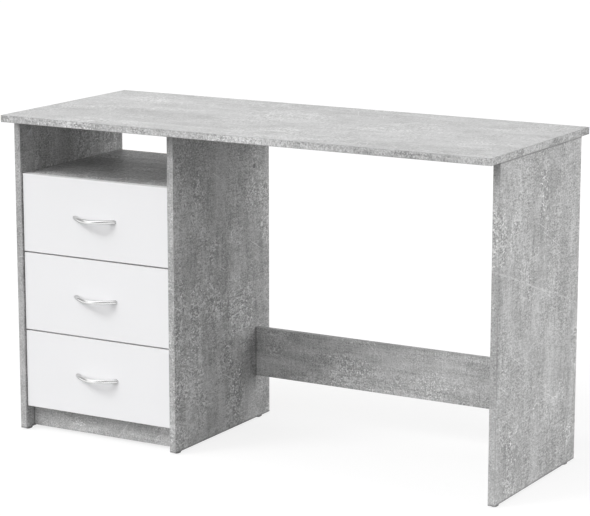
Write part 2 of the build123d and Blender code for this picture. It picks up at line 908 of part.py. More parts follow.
for name, front_low in zip(drawer_names, front_lows):
    save(drawer_front(front_low), f"{name}_drawer_front")
    save(drawer_back(front_low), f"{name}_drawer_back")
    save(drawer_bottom(front_low), f"{name}_drawer_bottom")
    save(handle(front_low), f"{name}_drawer_handle")
    save(drawer_screws(front_low), f"{name}_drawer_screws")
    save(drawer_dowels(front_low), f"{name}_drawer_dowels")
    level = track(front_low) + axle_rise
    for side, side_name in ((LEFT, "left"), (RIGHT, "right")):
        save(drawer_side(side, front_low), f"{name}_drawer_{side_name}_side")
        save(drawer_rail(side, front_low), f"{name}_drawer_{side_name}_rail")
        front_spot = Vector(across(side, roller_far), front_axle, level)
        rear_spot = Vector(across(side, roller_face), rear_axle, level)
        save(roller(front_spot, -inward(side)), f"{name}_{side_name}_front_roller")
        save(roller(rear_spot, inward(side)), f"{name}_{side_name}_rear_roller")
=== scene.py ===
# %% [markdown]
# # A writing desk with three drawers
# The real desk is a kit of chipboard parts. A printed paper that looks like bare concrete covers the
# boards, and a stack of white drawers closes the pedestal. The CAD model already holds each board,
# runner and screw at its true size, so this lesson leaves the dimensions alone. It loads that model as
# a fixed frame, sets up a small studio, and gives every piece the finish that it has in the workshop.

# %% Load the CAD frame
import math

import bmesh
import bpy
from mathutils import Matrix, Vector


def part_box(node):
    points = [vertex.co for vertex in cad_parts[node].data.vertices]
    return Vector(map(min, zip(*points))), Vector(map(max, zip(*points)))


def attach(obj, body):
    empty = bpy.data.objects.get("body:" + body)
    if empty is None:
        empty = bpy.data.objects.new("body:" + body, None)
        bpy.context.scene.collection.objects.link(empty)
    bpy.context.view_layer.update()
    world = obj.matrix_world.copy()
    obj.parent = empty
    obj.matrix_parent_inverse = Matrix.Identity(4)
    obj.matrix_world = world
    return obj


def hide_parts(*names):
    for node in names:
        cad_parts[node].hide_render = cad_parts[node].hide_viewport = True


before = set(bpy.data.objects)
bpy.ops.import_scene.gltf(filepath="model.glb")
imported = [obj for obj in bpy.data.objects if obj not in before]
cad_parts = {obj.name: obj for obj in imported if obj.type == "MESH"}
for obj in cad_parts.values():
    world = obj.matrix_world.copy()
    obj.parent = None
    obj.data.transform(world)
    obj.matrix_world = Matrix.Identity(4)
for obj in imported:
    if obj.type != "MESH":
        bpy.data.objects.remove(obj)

scene = bpy.context.scene
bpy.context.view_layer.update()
print("CAD nodes:", len(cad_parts))

# %% [markdown]
# ## Colours as written
# Blender can bend colours towards a film look, which flatters a scene but hides what a material says.
# A part for a library should show the colours that its materials name, so the plain Standard transform
# is used here.

# %% View transform
scene.view_settings.view_transform = "Standard"
print("view transform:", scene.view_settings.view_transform)

# %% [markdown]
# ## Helpers for shader nodes
# Every material below is a small graph of nodes. A graph can be drawn by hand in the node editor, or
# written down. Adding a node in code takes three steps: create it, set its options, and give each input
# a value or a link. One function does all three and hands back the outputs, so that a graph reads
# almost like a formula. Three more make the nodes that come up most often.

# %% Place a node
NODE_SPACING = 190


def place(tree, kind, inputs, **options):
    """Adds a node. A socket among the inputs is linked, and anything else becomes a value."""
    node = tree.nodes.new(kind)
    node.location.x = NODE_SPACING * len(tree.nodes)
    for option, value in options.items():
        setattr(node, option, value)
    for key, value in inputs.items():
        if isinstance(value, bpy.types.NodeSocket):
            tree.links.new(value, node.inputs[key])
        else:
            node.inputs[key].default_value = value
    return node.outputs


def maths(tree, operation, *values):
    """One Math node with its values in order."""
    return place(tree, "ShaderNodeMath", dict(enumerate(values)), operation=operation)["Value"]


def step(tree, value, start, end):
    """A soft step from 0 at start to 1 at end. It falls where end is the smaller one."""
    limits = {"Value": value, "From Min": start, "From Max": end}
    return place(tree, "ShaderNodeMapRange", limits, interpolation_type="SMOOTHSTEP")["Result"]


def split(tree, vector):
    """The X, Y and Z of a vector."""
    return place(tree, "ShaderNodeSeparateXYZ", {"Vector": vector})


print("helpers: place, maths, step, split")

# %% [markdown]
# ## The studio background
# A product is often photographed on white. Turning the lamps up until the floor burns out would also
# burn out the desk, so the background is white only for the rays that look at it: rays from the
# camera, and rays that a shiny or clear surface sends on. All other rays meet a softer sky, which
# works as a large, even fill light.
#
# Chrome that mirrors nothing but white seems to have no shape, so in a studio dark cards stand beside
# it. Two such cards are painted on this sky, and only shiny surfaces see them: a dark one, low down in
# front and to the right, and a grey one to the left. They draw the thin dark line along each handle,
# and the grey on its left foot.

# %% Cards for the chrome
CARD_DARKNESS = 0.95
LEFT_CARD_SHARE = 0.62

world = bpy.data.worlds.new("studio")
world.use_nodes = True
sky = world.node_tree
sky.nodes.clear()
heading = split(sky, place(sky, "ShaderNodeTexCoord", {})["Generated"])
low_part = step(sky, heading["Z"], 0.52, 0.32)
front_card = maths(sky, "MULTIPLY", low_part, step(sky, heading["X"], -0.50, 0.0))
left_card = maths(sky, "MULTIPLY", step(sky, heading["X"], -0.64, -0.84), LEFT_CARD_SHARE)
cards = maths(sky, "MAXIMUM", front_card, left_card)
mirrored_cards = maths(sky, "MULTIPLY", cards, place(sky, "ShaderNodeLightPath", {})["Is Glossy Ray"])
seen_level = maths(sky, "MULTIPLY_ADD", mirrored_cards, -CARD_DARKNESS, 1.0)
print("cards for shiny surfaces: front right and left")

# %% White to look at, softer as a light
SKY_FILL = 0.36


def looking_ray(tree):
    """1 for camera, glossy and transmission rays, and 0 for the rays that only carry light."""
    ray = place(tree, "ShaderNodeLightPath", {})
    shiny = maths(tree, "MAXIMUM", ray["Is Glossy Ray"], ray["Is Transmission Ray"])
    return maths(tree, "MAXIMUM", ray["Is Camera Ray"], shiny)


def grey(level):
    """A neutral colour from a level between black and white."""
    return (level, level, level, 1.0)


seen = place(sky, "ShaderNodeBackground", {"Color": grey(1.0), "Strength": seen_level})["Background"]
fill = place(sky, "ShaderNodeBackground", {"Color": grey(1.0), "Strength": SKY_FILL})["Background"]
both = place(sky, "ShaderNodeMixShader", {"Fac": looking_ray(sky), 1: fill, 2: seen})["Shader"]
place(sky, "ShaderNodeOutputWorld", {"Surface": both})
scene.world = world
print("sky fill strength:", SKY_FILL)

# %% [markdown]
# ## The floor
# The desk stands on a plain pale floor. A floor that is only lit would come out grey, and one that only
# glows would hide the shadow. So it does a bit of both: a glow that looking rays see lifts it to white,
# and a matt part on top of that still darkens where the desk blocks the lamps, so the desk doesn't seem
# to float.

# %% A pale floor with a faint shadow
FLOOR_HALF = 40.0
FLOOR_GLOW = 0.80
FLOOR_GREY = 0.22

sheet = bmesh.new()
bmesh.ops.create_grid(sheet, x_segments=1, y_segments=1, size=FLOOR_HALF)
floor_mesh = bpy.data.meshes.new("floor")
sheet.to_mesh(floor_mesh)
sheet.free()
floor = bpy.data.objects.new("floor", floor_mesh)
scene.collection.objects.link(floor)

floor_paint = bpy.data.materials.new("floor_paint")
floor_paint.use_nodes = True
paint = floor_paint.node_tree
paint.nodes.clear()
glow_level = maths(paint, "MULTIPLY", looking_ray(paint), FLOOR_GLOW)
glow = place(paint, "ShaderNodeEmission", {"Color": grey(1.0), "Strength": glow_level})["Emission"]
matt = place(paint, "ShaderNodeBsdfDiffuse", {"Color": grey(FLOOR_GREY)})["BSDF"]
summed = place(paint, "ShaderNodeAddShader", {0: glow, 1: matt})["Shader"]
place(paint, "ShaderNodeOutputMaterial", {"Surface": summed})
floor_mesh.materials.append(floor_paint)
print("floor:", 2 * FLOOR_HALF, "m square")

# %% [markdown]
# ## The camera
# The desk is seen from its right front corner, from a little above the desktop, through a long lens
# that keeps its far side almost as large as its near side. The place, turn and lens were found by
# matching the corners of the boards with the same corners in the reference picture. The lens isn't
# shifted, so the desk also stays in the middle when the camera is moved round it.

# %% Set the camera
CAMERA_PLACE = (2.62482, -4.51884, 1.51278)
CAMERA_TILT_DOWN = 11.629
CAMERA_TURN = 30.028
CAMERA_LENS = 144.09
SENSOR_WIDTH = 36.0
FARTHEST_SEEN = 200.0

lens = bpy.data.cameras.new("camera")
lens.sensor_width = SENSOR_WIDTH
lens.lens = CAMERA_LENS
lens.clip_end = FARTHEST_SEEN
camera = bpy.data.objects.new("camera", lens)
camera.location = CAMERA_PLACE
camera.rotation_euler = (math.radians(90 - CAMERA_TILT_DOWN), 0, math.radians(CAMERA_TURN))
scene.collection.objects.link(camera)
scene.camera = camera
print("camera:", CAMERA_PLACE, "lens", CAMERA_LENS, "mm")

# %% [markdown]
# ## The lamps
# The shadows of the handles fall down and to the right, so the main light stands to the left of the
# camera and above it. It is a very wide sun, which softens its shadows as a studio soft box does, and a
# narrower sun beside it gives the handles' shadows some shape. A light from the right brightens the
# outer side of the leg. The leg and the desktop hide it from the knee space, which stays darker. A fill
# from the front lightens the drawers, and a faint light from behind keeps the back of the desk
# readable. Area lamps would do too, but suns light a long desk evenly from end to end.
#
# The mirror image of a sun is a glaring disc, so most of them are hidden from reflections. Two weak
# ones are left in: the rear light, and a broad one in front for the soft highlight on the handles.

# %% Six wide lamps
def wide_lamp(name, towards_lamp, strength, width, mirrored=False):
    """A soft sun that fills an angle of that width, in degrees. Shiny pieces see it where mirrored."""
    light = bpy.data.lights.new(name, "SUN")
    light.energy = strength
    light.angle = math.radians(width)
    lamp = bpy.data.objects.new(name, light)
    lamp.rotation_euler = Vector(towards_lamp).to_track_quat("Z", "Y").to_euler()
    lamp.visible_glossy = mirrored
    scene.collection.objects.link(lamp)
    print("lamp:", name, "strength", strength)


wide_lamp("main_light", (-0.52, -0.62, 0.70), strength=1.64, width=76)
wide_lamp("shadow_light", (-0.52, -0.62, 0.72), strength=1.04, width=20)
wide_lamp("handle_glint", (-0.25, -0.78, 0.62), strength=0.09, width=46, mirrored=True)
wide_lamp("right_light", (0.93, 0.10, 0.30), strength=1.62, width=40)
wide_lamp("front_fill", (0.12, -0.97, 0.16), strength=0.60, width=60)
wide_lamp("rear_light", (0.40, 0.88, 0.12), strength=0.38, width=50, mirrored=True)

# %% [markdown]
# ## Patterns in the object's own space
# The finishes could be painted on unwrapped faces, but every board would then need its own unwrapping.
# Here they are made by 3-D noise that is read at each point's Object coordinates, in metres. The scale
# of a speck is then known in millimetres, and the pattern stays on a drawer when the drawer slides out.

# %% Helpers for vectors, noise and colours
def vectors(tree, operation, *values):
    """One Vector Math node with its vectors in order."""
    return place(tree, "ShaderNodeVectorMath", dict(enumerate(values)), operation=operation)["Vector"]


def noise(tree, spot, waves, detail=3.0, rough=0.6, distortion=0.0):
    """Cloudy noise from 0 to 1, with so many waves per metre along each axis."""
    settings = {"Scale": 1.0, "Detail": detail, "Roughness": rough, "Distortion": distortion}
    stretched = vectors(tree, "MULTIPLY", spot, waves)
    return place(tree, "ShaderNodeTexNoise", {"Vector": stretched, **settings})["Fac"]


def blend(tree, mask, first, second, strength=1.0):
    """The first colour, with the second one over it where the mask is set, at that strength."""
    if strength < 1.0:
        mask = maths(tree, "MULTIPLY", mask, strength)
    return place(tree, "ShaderNodeMix", {0: mask, 6: first, 7: second}, data_type="RGBA")[2]


print("helpers: vectors, noise, blend")

# %% [markdown]
# ## Node groups
# Effects that several finishes share are node groups: a small graph with named inputs and outputs
# that is built once and placed in each material with its own values. In Blender 4.5 the sockets of a
# group are made through its interface.

# %% Start and end a node group
SOCKET_KINDS = {"value": "NodeSocketFloat", "place": "NodeSocketVector", "colour": "NodeSocketColor"}


def start_group(name, inputs, outputs):
    """A new group with (label, kind, default) inputs and (label, kind) outputs."""
    group = bpy.data.node_groups.new(name, "ShaderNodeTree")
    for label, kind, default in inputs:
        socket = group.interface.new_socket(label, in_out="INPUT", socket_type=SOCKET_KINDS[kind])
        socket.default_value = default
    for label, kind in outputs:
        group.interface.new_socket(label, in_out="OUTPUT", socket_type=SOCKET_KINDS[kind])
    return group, place(group, "NodeGroupInput", {})


def end_group(group, results):
    """Links the results to the group's outputs."""
    place(group, "NodeGroupOutput", results)
    print("group:", group.name, "with", len(group.nodes), "nodes")


print("helpers: start_group, end_group")

# %% [markdown]
# ## Zones of a board
# A laminated board has broad faces, a thin band glued round its edges, and sharp arrises where the two
# meet, which collect a little wear and a little painted shade. Where its ends butt against another
# board, a dark line of painted shade stands for the shadow in the joint.
# These zones could be marked by hand on each mesh, but they can also be told apart by how far a point
# lies inside the sides of the board's box. On a broad face the depth through the thickness is nil, and
# on the band it isn't. Near an arris two of the three depths are nil at once, so the middle one of the
# three measures how near it is.

# %% Group: board zones
zones, given = start_group(
    "board_zones",
    [("Spot", "place", (0, 0, 0)), ("Middle", "place", (0, 0, 0)), ("Half", "place", (1, 1, 1)),
     ("Wear width", "value", 0.003)],
    [("Band", "value"), ("Arris", "value"), ("End", "value")],
)
offset = vectors(zones, "SUBTRACT", given["Spot"], given["Middle"])
depth = vectors(zones, "SUBTRACT", given["Half"], vectors(zones, "ABSOLUTE", offset))
along, across, through = split(zones, depth)
smallest = maths(zones, "MINIMUM", maths(zones, "MINIMUM", along, across), through)
largest = maths(zones, "MAXIMUM", maths(zones, "MAXIMUM", along, across), through)
total = maths(zones, "ADD", maths(zones, "ADD", along, across), through)
middle_one = maths(zones, "SUBTRACT", maths(zones, "SUBTRACT", total, smallest), largest)
rub = noise(zones, given["Spot"], (160, 160, 160), detail=4, rough=0.7)
rubbed_width = maths(zones, "MULTIPLY", given["Wear width"], maths(zones, "MULTIPLY", rub, 2.0))
arris = maths(zones, "SUBTRACT", 1.0, maths(zones, "DIVIDE", middle_one, rubbed_width))
end_group(zones, {
    "Band": step(zones, through, 0.0005, 0.0011),
    "Arris": maths(zones, "MAXIMUM", arris, 0.0),
    "End": step(zones, along, 0.0045, 0.0015),
})

# %% [markdown]
# ## The concrete print: tones
# The print copies a trowelled concrete wall. Seen from near it is a fine grain with hair-thin threads
# that cross each other like linen. From further away soft blotches, streaks and clouds show, and rough
# patches where the grain is stronger. A scan of a wall would need an image, so each of these is one
# noise at its own scale, and their sum picks a tone between a dark and a light grey. The print runs
# along the first axis of the position that it is given, and its grain is a little coarser on the band.

# %% Group: concrete print
BAND_COARSENESS = 0.15

concrete, given = start_group(
    "concrete_print",
    [("Spot", "place", (0, 0, 0)), ("Coarse", "value", 0.0), ("Tone", "value", 0.5),
     ("Contrast", "value", 1.0)],
    [("Colour", "colour"), ("Roughness", "value"), ("Height", "value")],
)
spot = given["Spot"]
grain_scale = maths(concrete, "MULTIPLY_ADD", given["Coarse"], -BAND_COARSENESS, 1.0)
grain_spot = vectors(concrete, "MULTIPLY", spot, grain_scale)
grain = noise(concrete, grain_spot, (330, 185, 330), detail=1)
threads = noise(concrete, spot, (20, 130, 240), detail=2, rough=0.7)
cross_threads = noise(concrete, spot, (240, 24, 240), detail=2, rough=0.7)
blotches = noise(concrete, spot, (13, 17, 17), detail=2, rough=0.65, distortion=0.3)
streaks = noise(concrete, spot, (2.6, 26, 26))
clouds = noise(concrete, spot, (3.5, 7, 7), rough=0.55, distortion=0.3)
rough_patches = step(concrete, noise(concrete, spot, (8, 14, 14), detail=2), 0.40, 0.60)
clusters = step(concrete, noise(concrete, spot, (6, 9, 9)), 0.48, 0.64)
print("concrete layers: grain, threads, cross threads, blotches, streaks, clouds, patches, clusters")

# %% Sum of the layers
def layered(layers):
    """The sum of noises around zero, each with its share."""
    total = 0.0
    for layer, share in layers:
        centred = maths(concrete, "SUBTRACT", layer, 0.5)
        total = maths(concrete, "MULTIPLY_ADD", centred, share, total)
    return total


fine = layered([(grain, 2.15), (threads, 0.80), (cross_threads, 1.00)])
fine = maths(concrete, "MULTIPLY", fine, maths(concrete, "MULTIPLY_ADD", rough_patches, 0.40, 0.70))
broad = layered([(blotches, 0.80), (streaks, 0.90), (clouds, 0.90), (clusters, -0.10)])
both_scales = maths(concrete, "ADD", fine, broad)
tone = maths(concrete, "MULTIPLY_ADD", both_scales, given["Contrast"], given["Tone"])
print("concrete tone: fine and broad layers")

# %% [markdown]
# ## The concrete print: marks
# Over the tones lie pale marks: specks and brighter glints that gather in clusters, thin scribbles like
# the trace of a brush, and slanted scratches. Dark specks fill the rough patches, and here and there an
# air bubble has left a pit. A speck is where a fine noise rises above a limit. A scribble is the line
# where a noise passes through its middle value, which gives bent strokes without drawing any. The pits
# are a few cells of a Voronoi texture.

# %% Pale marks
SCRATCH_SLANT = 62


def speckled(waves, start, end):
    """Spots where a fine noise passes a limit."""
    return step(concrete, noise(concrete, grain_spot, waves, detail=0, rough=0.5), start, end)


def strokes(waves, gap_waves):
    """Thin bent lines inside the clusters, broken by another noise."""
    ridge = noise(concrete, spot, waves, detail=2, rough=0.55, distortion=1.6)
    off_ridge = maths(concrete, "ABSOLUTE", maths(concrete, "SUBTRACT", ridge, 0.5))
    line = step(concrete, off_ridge, 0.065, 0.020)
    gaps = step(concrete, noise(concrete, spot, gap_waves, detail=1, rough=0.5), 0.48, 0.60)
    return maths(concrete, "MULTIPLY", maths(concrete, "MULTIPLY", line, gaps), clusters)


specks = maths(concrete, "MULTIPLY", speckled((190, 110, 190), 0.62, 0.70),
               maths(concrete, "MULTIPLY_ADD", clusters, 0.80, 0.20))
glints = maths(concrete, "MULTIPLY", speckled((250, 145, 250), 0.67, 0.75),
               maths(concrete, "MULTIPLY_ADD", clusters, 1.3, 0.1))
scribbles = maths(concrete, "MAXIMUM", strokes((40, 75, 75), (52, 52, 52)),
                  strokes((85, 45, 85), (61, 61, 61)))
turn = (0, 0, math.radians(SCRATCH_SLANT))
slanted_spot = place(concrete, "ShaderNodeMapping", {"Vector": spot, "Rotation": turn})["Vector"]
scratch_noise = noise(concrete, slanted_spot, (7, 300, 40), detail=2, rough=0.5, distortion=0.4)
scratches = step(concrete, scratch_noise, 0.70, 0.76)
faint = maths(concrete, "MULTIPLY", maths(concrete, "MAXIMUM", specks, scribbles), 0.75)
pale_marks = maths(concrete, "MAXIMUM", maths(concrete, "MAXIMUM", faint, glints), scratches)
pale_marks = maths(concrete, "MULTIPLY", pale_marks, given["Contrast"])
print("pale marks: specks, scribbles, glints, scratches")

# %% Dark marks
PIT_WAVES = (30, 30, 30)

dark_specks = maths(concrete, "MULTIPLY", speckled((210, 120, 210), 0.36, 0.27), rough_patches)
dark_specks = maths(concrete, "MULTIPLY", dark_specks, given["Contrast"])
pit_spot = vectors(concrete, "MULTIPLY", spot, PIT_WAVES)
pit_cell = place(concrete, "ShaderNodeTexVoronoi", {"Vector": pit_spot, "Scale": 1.0})
pit_draw = place(concrete, "ShaderNodeSeparateColor", {"Color": pit_cell["Color"]})["Red"]
chosen = step(concrete, pit_draw, 0.86, 0.88)
pits = maths(concrete, "MULTIPLY", step(concrete, pit_cell["Distance"], 0.07, 0.035), chosen)
print("dark marks: specks, pits")

# %% Colour, gloss and relief of the concrete print
PRINT_DARK = grey(0.24)
PRINT_LIGHT = grey(0.66)
SPECK_DARK = grey(0.22)
MARK_PALE = grey(0.90)
PIT_DARK = grey(0.13)

toned = blend(concrete, tone, PRINT_DARK, PRINT_LIGHT)
dotted = blend(concrete, dark_specks, toned, SPECK_DARK, strength=0.28)
marked = blend(concrete, pale_marks, dotted, MARK_PALE, strength=0.80)
pitted = blend(concrete, pits, marked, PIT_DARK, strength=0.75)
raised = maths(concrete, "MULTIPLY_ADD", threads, 0.5, grain)
end_group(concrete, {
    "Colour": pitted,
    "Roughness": maths(concrete, "MULTIPLY_ADD", grain, 0.22, 0.40),
    "Height": maths(concrete, "SUBTRACT", raised, pits),
})

# %% [markdown]
# ## A material for each board
# The boards are sawn from large printed sheets, so no two of them show the same part of the print, and
# the print runs along the length of each board. One material for all would repeat itself on every
# board, so a function makes one for each: it puts the run of the print on the first axis, moves the
# board to its own part of the pattern, and reads the board's box from the CAD model for its band,
# arrises and the painted shade lines at its joints.

# %% Start a material, and give it to pieces
def start_material(name):
    """A material with a Principled shader. Hands back its graph and the shader's inputs."""
    material = bpy.data.materials.new(name)
    material.use_nodes = True
    tree = material.node_tree
    tree.nodes.clear()
    shader = tree.nodes.new("ShaderNodeBsdfPrincipled")
    place(tree, "ShaderNodeOutputMaterial", {"Surface": shader.outputs["BSDF"]})
    return material, tree, shader.inputs


def plug(tree, inputs, colour, roughness, normal):
    """Links a colour, a roughness and a normal to a shader."""
    for label, socket in (("Base Color", colour), ("Roughness", roughness), ("Normal", normal)):
        tree.links.new(socket, inputs[label])


def bump(tree, height, strength, depth):
    """A normal that is tilted by a relief of that depth, in metres."""
    relief = {"Strength": strength, "Distance": depth, "Height": height}
    return place(tree, "ShaderNodeBump", relief)["Normal"]


def dress(material, *names):
    """Gives a material to CAD nodes or to new pieces."""
    for name in names:
        mesh = bpy.data.objects[name].data
        mesh.materials.clear()
        mesh.materials.append(material)
    print("finish:", material.name, "on", len(names), "pieces")


print("helpers: start_material, plug, bump, dress")

# %% Place a group, and read a board's own space
def grouped(tree, group, inputs):
    """Places a node group in a material."""
    return place(tree, "ShaderNodeGroup", inputs, node_tree=group)


def own_place(tree):
    """The piece's own coordinates, in metres."""
    return place(tree, "ShaderNodeTexCoord", {})["Object"]


def run_first(tree, axes):
    """The piece's own coordinates in the order of axes, such as "ZYX" for an upright board."""
    parts = split(tree, own_place(tree))
    ordered = dict(enumerate(parts[axis] for axis in axes))
    return place(tree, "ShaderNodeCombineXYZ", ordered)["Vector"]


def box_zones(tree, spot, name, axes, wear_width):
    """The zones of a CAD board."""
    low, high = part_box(name)
    order = ["XYZ".index(axis) for axis in axes]
    middle, half = (low + high) / 2, (high - low) / 2
    sizes = {"Middle": [middle[i] for i in order], "Half": [half[i] for i in order]}
    return grouped(tree, zones, {"Spot": spot, **sizes, "Wear width": wear_width})


print("helpers: grouped, own_place, run_first, box_zones")

# %% Two marks that single boards have
def long_scratch(tree, spot, slope, rise):
    """A thin, broken line across a board. It crosses the middle at that rise, with that slope."""
    parts = split(tree, spot)
    off_line = maths(tree, "SUBTRACT", maths(tree, "MULTIPLY_ADD", parts["Y"], slope, parts["X"]), rise)
    wobble = noise(tree, spot, (14, 14, 14))
    off_line = maths(tree, "ABSOLUTE", maths(tree, "MULTIPLY_ADD", wobble, 0.012, off_line))
    kept = step(tree, noise(tree, spot, (30, 30, 30), rough=0.7), 0.36, 0.58)
    return maths(tree, "MULTIPLY", step(tree, off_line, 0.0032, 0.0006), kept)


def single_pit(tree, spot, middle):
    """A round pit, a few millimetres wide, at one place of a board."""
    away = place(tree, "ShaderNodeVectorMath", {0: spot, 1: middle}, operation="DISTANCE")["Value"]
    return step(tree, away, 0.0065, 0.0035)


print("helpers: long_scratch, single_pit")

# %% Concrete boards
BOARD_WEAR = 0.0022
SCRATCH_GREY = grey(0.78)
WEAR_AND_SHADE_GREY = grey(0.20)
JOINT_SHADE_GREY = grey(0.13)
PIT_GREY = grey(0.06)


def concrete_board(name, axes, move, scratch, tone=0.46, face=1.0, edge=0.7, weave=1.0, butted=True,
                   pit=None):
    """The material of one board.

    The print is moved to its own part of the pattern, and a weave above 1 packs it closer across the
    board. The tone is its mean level, and face and edge are its contrast on the faces and on the band.
    A scratch is the (slope, rise) of a long pale line, and a pit is the place of one round dark pit.
    A butted board has a dark line of painted shade at each end, where the next board meets it.
    """
    material, tree, shader = start_material("concrete_" + name)
    spot = run_first(tree, axes)
    zone = box_zones(tree, spot, name, axes, BOARD_WEAR)
    moved = vectors(tree, "MULTIPLY_ADD", spot, (1.0, weave, 1.0), move)
    contrast = maths(tree, "MULTIPLY_ADD", zone["Band"], edge - face, face)
    settings = {"Coarse": zone["Band"], "Tone": tone, "Contrast": contrast}
    printed = grouped(tree, concrete, {"Spot": moved, **settings})
    line = long_scratch(tree, spot, *scratch)
    colour = blend(tree, line, printed["Colour"], SCRATCH_GREY, strength=0.45)
    colour = blend(tree, zone["Band"], colour, WEAR_AND_SHADE_GREY, strength=0.05)
    # The arrises darken partly as wear and partly as painted shade.
    colour = blend(tree, zone["Arris"], colour, WEAR_AND_SHADE_GREY, strength=0.26)
    # Painted shade: a dark line at each butted end, for the shadow in the joint.
    if butted:
        colour = blend(tree, zone["End"], colour, JOINT_SHADE_GREY, strength=0.60)
    if pit:
        colour = blend(tree, single_pit(tree, spot, pit), colour, PIT_GREY, strength=0.70)
    relief = bump(tree, printed["Height"], strength=0.25, depth=0.0004)
    plug(tree, shader, colour, printed["Roughness"], relief)
    dress(material, name)


concrete_board("desktop", "XYZ", (0.31, 0.12, 0.0), (-0.35, 0.22), tone=0.50, face=0.56, edge=1.1,
               butted=False)
concrete_board("left_side_panel", "ZYX", (2.10, 0.70, 0.4), (0.25, 0.30))
# The inner panel's lower tone is partly painted shade, for the darker knee space that it faces.
concrete_board("inner_side_panel", "ZYX", (5.90, 2.30, 0.8), (-0.40, 0.24), tone=0.43, face=1.1,
               pit=(0.612, 0.144, -0.181))
concrete_board("leg_panel", "ZYX", (6.05, 3.25, 1.2), (0.339, 0.441), tone=0.47, edge=0.9)
concrete_board("shelf", "XYZ", (8.20, 4.40, 1.6), (0.50, -0.30))
concrete_board("bottom_board", "XYZ", (10.6, 5.10, 2.0), (0.20, -0.45))
concrete_board("plinth", "XZY", (12.3, 6.60, 2.4), (-0.80, -0.36), face=0.9, weave=1.7)
concrete_board("stretcher", "XZY", (15.4, 7.10, 2.8), (0.90, 0.33), tone=0.47, face=0.85, weave=1.7)

# %% [markdown]
# ## The white drawer fronts
# The fronts are the same chipboard with a plain white melamine skin, which has a very fine pearl
# structure that keeps it from shining like glass. A flat white would look like paper, so the tone
# drifts by a hair, the gloss varies with the pearl, and the glued band shows as a faint line.

# %% White melamine
DRAWERS = ("bottom", "middle", "top")
FRONT_WEAR = 0.0016
WHITE_LOW = (0.884, 0.884, 0.896, 1)
WHITE_HIGH = (0.904, 0.904, 0.914, 1)
WHITE_BAND = grey(0.80)
WORN_WHITE = (0.52, 0.50, 0.48, 1)


def white_front(name):
    """The material of one drawer front."""
    material, tree, shader = start_material("white_" + name)
    spot = run_first(tree, "XZY")
    zone = box_zones(tree, spot, name, "XZY", FRONT_WEAR)
    pearl = noise(tree, spot, (900, 900, 900), detail=2)
    drift = noise(tree, spot, (6, 6, 6), rough=0.5)
    colour = blend(tree, drift, WHITE_LOW, WHITE_HIGH)
    colour = blend(tree, zone["Band"], colour, WHITE_BAND, strength=0.5)
    colour = blend(tree, zone["Arris"], colour, WORN_WHITE, strength=0.45)
    gloss = maths(tree, "MULTIPLY_ADD", pearl, 0.16, 0.34)
    plug(tree, shader, colour, gloss, bump(tree, pearl, strength=0.12, depth=0.0002))
    dress(material, name)


for drawer in DRAWERS:
    white_front(f"{drawer}_drawer_front")

# %% [markdown]
# ## The drawer boxes
# Only the fronts are on show, so the boxes behind them are plainer: thin boards wrapped in a white
# foil with a faint pressed grain. The grain could be a bump alone, but on a real foil dirt settles in
# the pores, so they are a little darker too.

# %% Foil-wrapped drawer boards
FOIL_WEAR = 0.002
FOIL_LOW = (0.74, 0.74, 0.73, 1)
FOIL_HIGH = (0.82, 0.82, 0.81, 1)
PORE_GREY = (0.66, 0.65, 0.63, 1)
WORN_FOIL = (0.52, 0.49, 0.44, 1)


def foil_board(name, axes):
    """The material of a drawer side or back."""
    material, tree, shader = start_material("foil_" + name)
    spot = run_first(tree, axes)
    zone = box_zones(tree, spot, name, axes, FOIL_WEAR)
    pores = noise(tree, spot, (18, 420, 420), detail=4, rough=0.7)
    drift = noise(tree, spot, (7, 14, 14), rough=0.5)
    colour = blend(tree, drift, FOIL_LOW, FOIL_HIGH)
    colour = blend(tree, step(tree, pores, 0.60, 0.78), colour, PORE_GREY)
    colour = blend(tree, zone["Arris"], colour, WORN_FOIL, strength=0.45)
    gloss = maths(tree, "MULTIPLY_ADD", pores, 0.25, 0.38)
    plug(tree, shader, colour, gloss, bump(tree, pores, strength=0.2, depth=0.0003))
    dress(material, name)


for drawer in DRAWERS:
    foil_board(f"{drawer}_drawer_left_side", "YZX")
    foil_board(f"{drawer}_drawer_right_side", "YZX")
    foil_board(f"{drawer}_drawer_back", "XZY")

# %% [markdown]
# ## Hardboard
# Hardboard is wood fibre that was pressed into a thin brown sheet. It closes the back of the pedestal,
# raw on both sides, and makes the drawer bottoms, which are lacquered white inside and left brown
# below. The fibre is a group, because the raw and the lacquered sheets share it. The lacquer goes on
# every face that points up, so that the two sides need no separate meshes.

# %% Group: pressed wood fibre
FIBRE_DARK = (0.145, 0.082, 0.042, 1)
FIBRE_LIGHT = (0.42, 0.27, 0.155, 1)
FLAKE_BROWN = (0.36, 0.225, 0.125, 1)
CLOUD_BROWN = (0.20, 0.125, 0.07, 1)

fibre, given = start_group(
    "wood_fibre", [("Spot", "place", (0, 0, 0))],
    [("Colour", "colour"), ("Roughness", "value"), ("Height", "value")],
)
felt = noise(fibre, given["Spot"], (190, 190, 190), detail=6, rough=0.75, distortion=1.5)
flakes = noise(fibre, given["Spot"], (45, 45, 45), detail=5, rough=0.65, distortion=0.8)
brown_clouds = noise(fibre, given["Spot"], (5, 5, 5), rough=0.5)
brown = blend(fibre, felt, FIBRE_DARK, FIBRE_LIGHT)
flaked = blend(fibre, step(fibre, flakes, 0.55, 0.75), brown, FLAKE_BROWN)
end_group(fibre, {
    "Colour": blend(fibre, brown_clouds, flaked, CLOUD_BROWN, strength=0.35),
    "Roughness": maths(fibre, "MULTIPLY_ADD", felt, 0.3, 0.55),
    "Height": felt,
})

# %% Hardboard, raw and lacquered
LACQUER_LOW = (0.70, 0.70, 0.69, 1)
LACQUER_HIGH = (0.80, 0.80, 0.79, 1)


def upright_part(tree):
    """How far the surface points up, from -1 to 1."""
    return split(tree, place(tree, "ShaderNodeTexCoord", {})["Normal"])["Z"]


